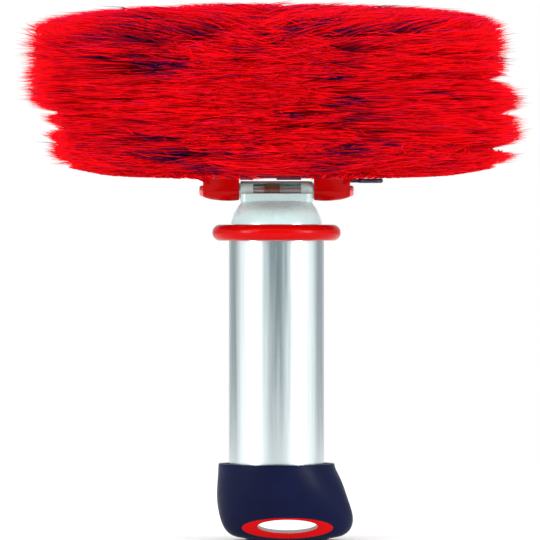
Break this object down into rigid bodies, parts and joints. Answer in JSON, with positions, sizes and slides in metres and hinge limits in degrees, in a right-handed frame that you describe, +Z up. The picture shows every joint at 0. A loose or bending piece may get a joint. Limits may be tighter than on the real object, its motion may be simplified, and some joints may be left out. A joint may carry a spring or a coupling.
{
  "type": "wheel brush",
  "caption": "Car wheel brush with a wide head of long soft pile that tilts on a fork, a short sliding handle with a twist collar, and a soft grip with a hanging slot.",
  "frame": {"origin": "middle of the object's box in plan, at the grip's flat foot; the handle's axis passes through it", "axes": "+Z up the handle towards the head, X along the head and its tilt pin with the thumb tab at +X, -Y towards the front"},
  "size_m": [0.176, 0.1, 0.1976],
  "materials": {
    "grip_rubber": "soft matt",
    "red_plastic": "glossy",
    "cap_plastic": "glossy",
    "tube_metal": "satin",
    "neck_plastic": "semi gloss",
    "bush_plastic": "matt",
    "navy_plastic": "matt",
    "steel": "turned",
    "bronze": "sintered",
    "foam": "open cell",
    "backing": "knitted",
    "pile": "long soft pile"
  },
  "bodies": {
    "handle": {"grip": "grip_rubber", "hanger_insert": "red_plastic", "end_plug": "red_plastic", "plug_pins": "steel", "outer_tube": "tube_metal", "top_bush": "bush_plastic", "collet": "bush_plastic"},
    "collar": {"collar": "red_plastic", "cam_ring": "bush_plastic"},
    "neck": {"inner_tube": "tube_metal", "guide_cap": "bush_plastic", "neck": "neck_plastic", "neck_rivets": "steel"},
    "head": {"pivot_pin": "steel", "pivot_bush": "bronze", "friction_washers": "bush_plastic", "pin_caps": "cap_plastic", "fork": "red_plastic", "fork_screws": "steel", "base_plate": "navy_plastic", "core_shell": "navy_plastic", "core_screws": "steel", "foam_pad": "foam", "backing_sleeve": "backing", "underside_cover": "backing", "hem_band": "backing", "pile_front": "pile", "pile_back": "pile", "pile_left": "pile", "pile_right": "pile", "pile_top": "pile"},
    "lock": {"lock_slide": "navy_plastic"}
  },
  "joints": [
    {"name": "neck_slide", "type": "slide", "parent": "handle", "child": "neck", "axis": [0, 0, 1], "range_m": [0, 0.058]},
    {"name": "collar_twist", "type": "hinge", "parent": "handle", "child": "collar", "pos_m": [0, 0, 0.11295], "axis": [0, 0, 1], "range_deg": [0, 90]},
    {"name": "head_tilt", "type": "hinge", "parent": "neck", "child": "head", "pos_m": [0, 0, 0.1283], "axis": [1, 0, 0], "range_deg": [-35, 35]},
    {"name": "lock_press", "type": "slide", "parent": "head", "child": "lock", "axis": [-1, 0, 0], "range_m": [0, 0.0026]}
  ]
}
